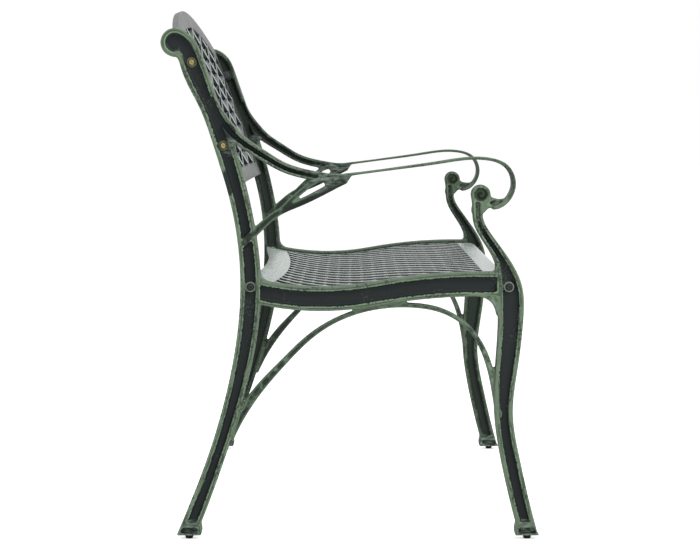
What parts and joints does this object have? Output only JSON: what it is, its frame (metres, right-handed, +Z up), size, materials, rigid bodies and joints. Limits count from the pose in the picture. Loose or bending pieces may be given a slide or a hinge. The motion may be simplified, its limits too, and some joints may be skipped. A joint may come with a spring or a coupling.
{
  "type": "garden bench",
  "caption": "Cast garden bench with scrolled arms, cabriole front legs, arched braces, a dished lattice seat and a leaning lattice backrest with an arched crest.",
  "frame": {"origin": "on the ground, under the middle of the bench", "axes": "+X along the bench, -Y towards the sitter's knees, +Z up"},
  "size_m": [1.02, 0.5914, 0.8406],
  "materials": {
    "frame_coat": "powder coat, green on the rims over charcoal in the recesses, rubbed at the edges",
    "panel_coat": "powder coat, rubbed green and grey",
    "backrest_bolt": "yellow passivated zinc",
    "backrest_washer": "yellow passivated zinc",
    "seat_bolt": "black oxide",
    "seat_washer": "zinc",
    "glide": "moulded, matt"
  },
  "bodies": {
    "root": {"left_end_frame": "frame_coat", "right_end_frame": "frame_coat", "seat_panel": "panel_coat", "backrest_panel": "panel_coat", "seat_bolt_left_rear": "seat_bolt", "seat_washer_left_rear": "seat_washer", "seat_bolt_left_front": "seat_bolt", "seat_washer_left_front": "seat_washer", "seat_bolt_right_rear": "seat_bolt", "seat_washer_right_rear": "seat_washer", "seat_bolt_right_front": "seat_bolt", "seat_washer_right_front": "seat_washer", "backrest_bolt_left_low": "backrest_bolt", "backrest_washer_left_low": "backrest_washer", "backrest_bolt_left_top": "backrest_bolt", "backrest_washer_left_top": "backrest_washer", "backrest_bolt_right_low": "backrest_bolt", "backrest_washer_right_low": "backrest_washer", "backrest_bolt_right_top": "backrest_bolt", "backrest_washer_right_top": "backrest_washer", "glide_left_rear": "glide", "glide_left_front": "glide", "glide_right_rear": "glide", "glide_right_front": "glide"}
  },
  "joints": []
}
